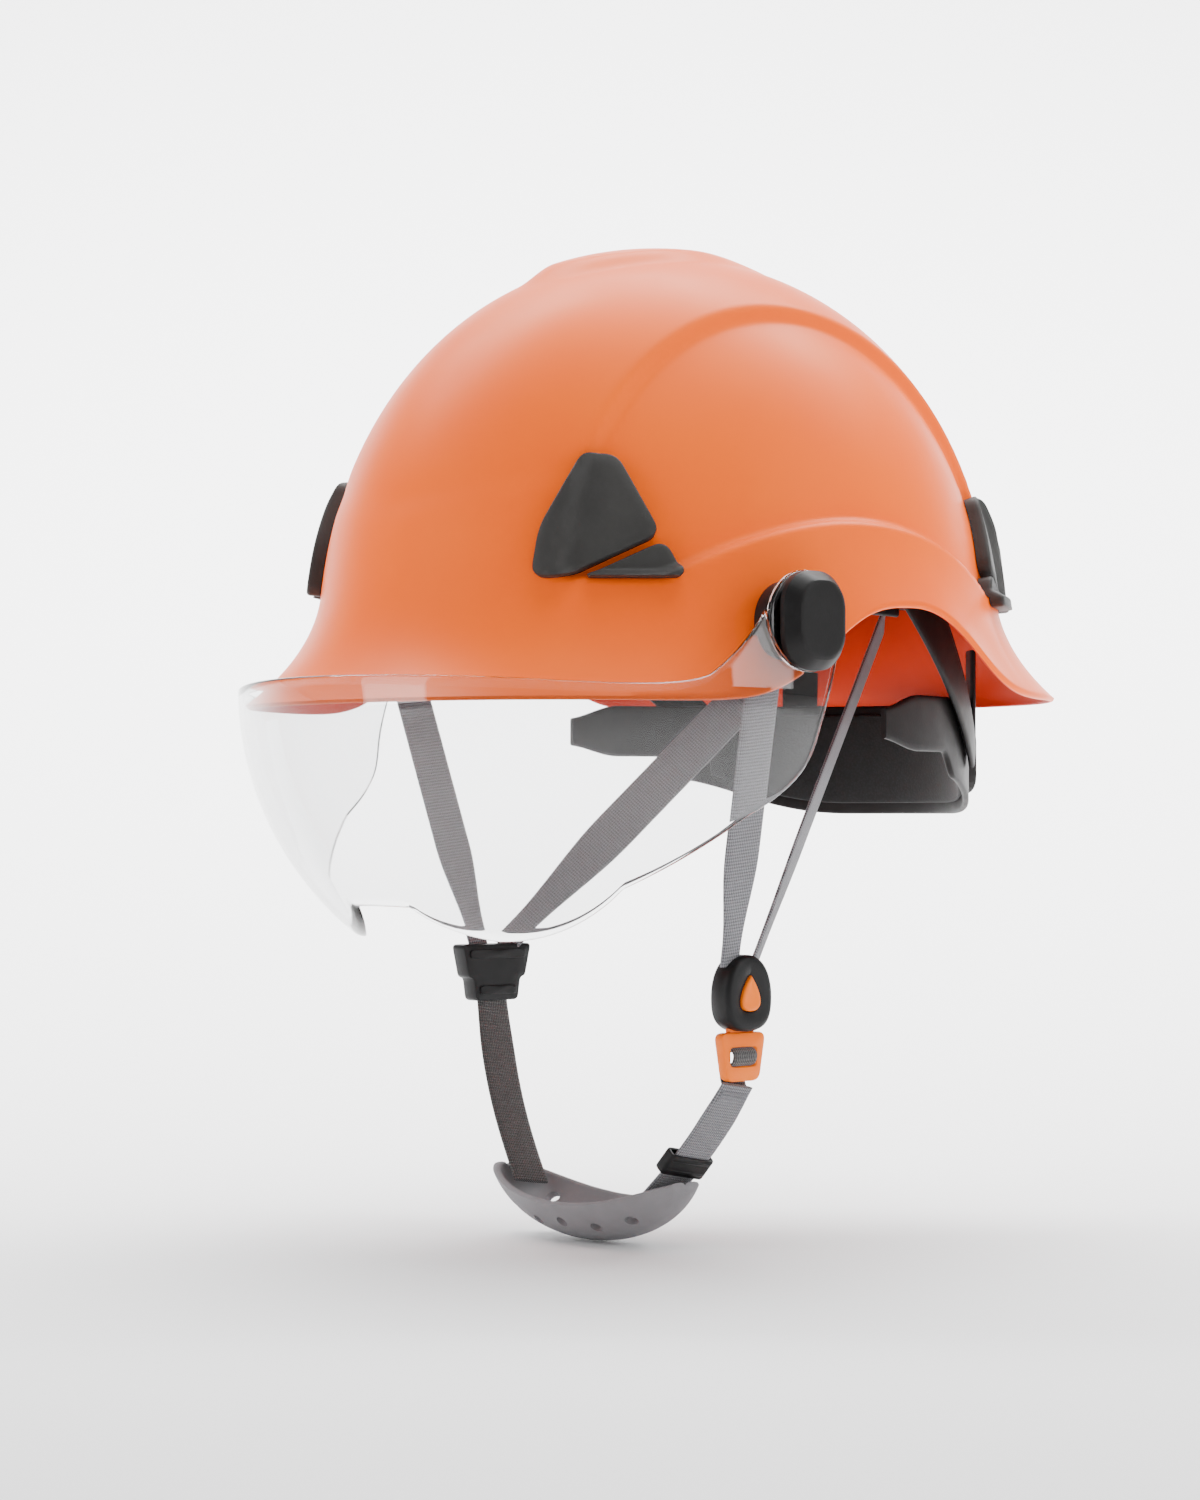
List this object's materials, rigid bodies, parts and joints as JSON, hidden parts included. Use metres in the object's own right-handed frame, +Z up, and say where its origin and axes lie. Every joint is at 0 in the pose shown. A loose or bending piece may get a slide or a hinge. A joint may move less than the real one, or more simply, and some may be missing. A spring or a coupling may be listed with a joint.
{
  "type": "arborist helmet",
  "caption": "Brimmed work-at-height helmet with a raised crown, lamp clips, a clear flip-up eye visor, a nape cradle and a chin harness with a buckle and cup.",
  "frame": {"origin": "centre of the head opening, on the plane of the brim", "axes": "+Z up, -Y the way the wearer faces, +X the wearer's left"},
  "size_m": [0.2462, 0.2917, 0.338],
  "materials": {
    "shell_orange": "satin to glossy moulded",
    "clip_black": "fine moulded texture",
    "lens_clear": "clear polycarbonate, polished",
    "pivot_black": "satin moulded",
    "webbing_grey": "woven polyester webbing",
    "foam_dark": "knitted cover over foam",
    "cradle_black": "satin moulded",
    "buckle_black": "satin moulded",
    "buckle_orange": "satin moulded",
    "rubber_grey": "matt, perforated"
  },
  "bodies": {
    "helmet": {"shell": "shell_orange", "front_clip_hook_left": "clip_black", "front_clip_hook_right": "clip_black", "front_clip_wedge_left": "clip_black", "front_clip_wedge_right": "clip_black", "rear_clip_hook_left": "clip_black", "rear_clip_hook_right": "clip_black", "rear_clip_wedge_left": "clip_black", "rear_clip_wedge_right": "clip_black", "crown_anchor_front_left": "cradle_black", "crown_anchor_front_right": "cradle_black", "crown_anchor_rear_left": "cradle_black", "crown_anchor_rear_right": "cradle_black", "crown_strap_lower": "webbing_grey", "crown_strap_upper": "webbing_grey", "pivot_base_left": "pivot_black", "pivot_base_right": "pivot_black", "headband": "cradle_black", "sweatband": "foam_dark", "front_strap_left": "webbing_grey", "front_strap_right": "webbing_grey", "rear_strap_left": "webbing_grey", "rear_strap_right": "webbing_grey", "front_strap_anchor_left": "cradle_black", "front_strap_anchor_right": "cradle_black", "rear_strap_anchor_left": "cradle_black", "rear_strap_anchor_right": "cradle_black", "buckle_body": "buckle_black", "strap_divider_right": "buckle_black"},
    "visor": {"visor_lens": "lens_clear", "pivot_axle_left": "pivot_black", "pivot_axle_right": "pivot_black", "pivot_cap_left": "pivot_black", "pivot_cap_right": "pivot_black"},
    "nape": {"nape_cradle": "cradle_black", "ratchet_box": "cradle_black", "cradle_arm_left": "cradle_black", "cradle_arm_right": "cradle_black", "rear_hanger_left": "cradle_black", "rear_hanger_right": "cradle_black"},
    "knob": {"size_knob": "cradle_black"},
    "chin": {"chin_strap_right": "webbing_grey", "chin_cup": "rubber_grey", "chin_strap_left": "webbing_grey", "buckle_tongue": "buckle_orange"},
    "button": {"buckle_button": "buckle_orange"},
    "keeper": {"strap_keeper": "buckle_black"}
  },
  "joints": [
    {"name": "visor_flip", "type": "hinge", "parent": "helmet", "child": "visor", "pos_m": [0, -0.039, 0.026], "axis": [1, 0, 0], "range_deg": [-62, 0]},
    {"name": "headband_size", "type": "slide", "parent": "helmet", "child": "nape", "axis": [0, 1, 0], "range_m": [-0.012, 0.002]},
    {"name": "size_knob_turn", "type": "hinge", "parent": "nape", "child": "knob", "pos_m": [0, 0.13, -0.014], "axis": [0, 1, 0], "range_deg": [-216, 36]},
    {"name": "chin_release", "type": "hinge", "parent": "helmet", "child": "chin", "pos_m": [-0.065, -0.02, -0.1], "axis": [0, 1, 0], "range_deg": [0, 35]},
    {"name": "buckle_press", "type": "slide", "parent": "helmet", "child": "button", "axis": [-1, 0, 0], "range_m": [0, 0.001], "stiffness_N_per_m": 300},
    {"name": "keeper_slide", "type": "slide", "parent": "chin", "child": "keeper", "axis": [0.6258, 0.1413, 0.7671], "range_m": [-0.002, 0.012]}
  ],
  "couplings": [
    {"joint": "size_knob_turn", "follows": "headband_size", "rad_per_m": 314.16}
  ]
}
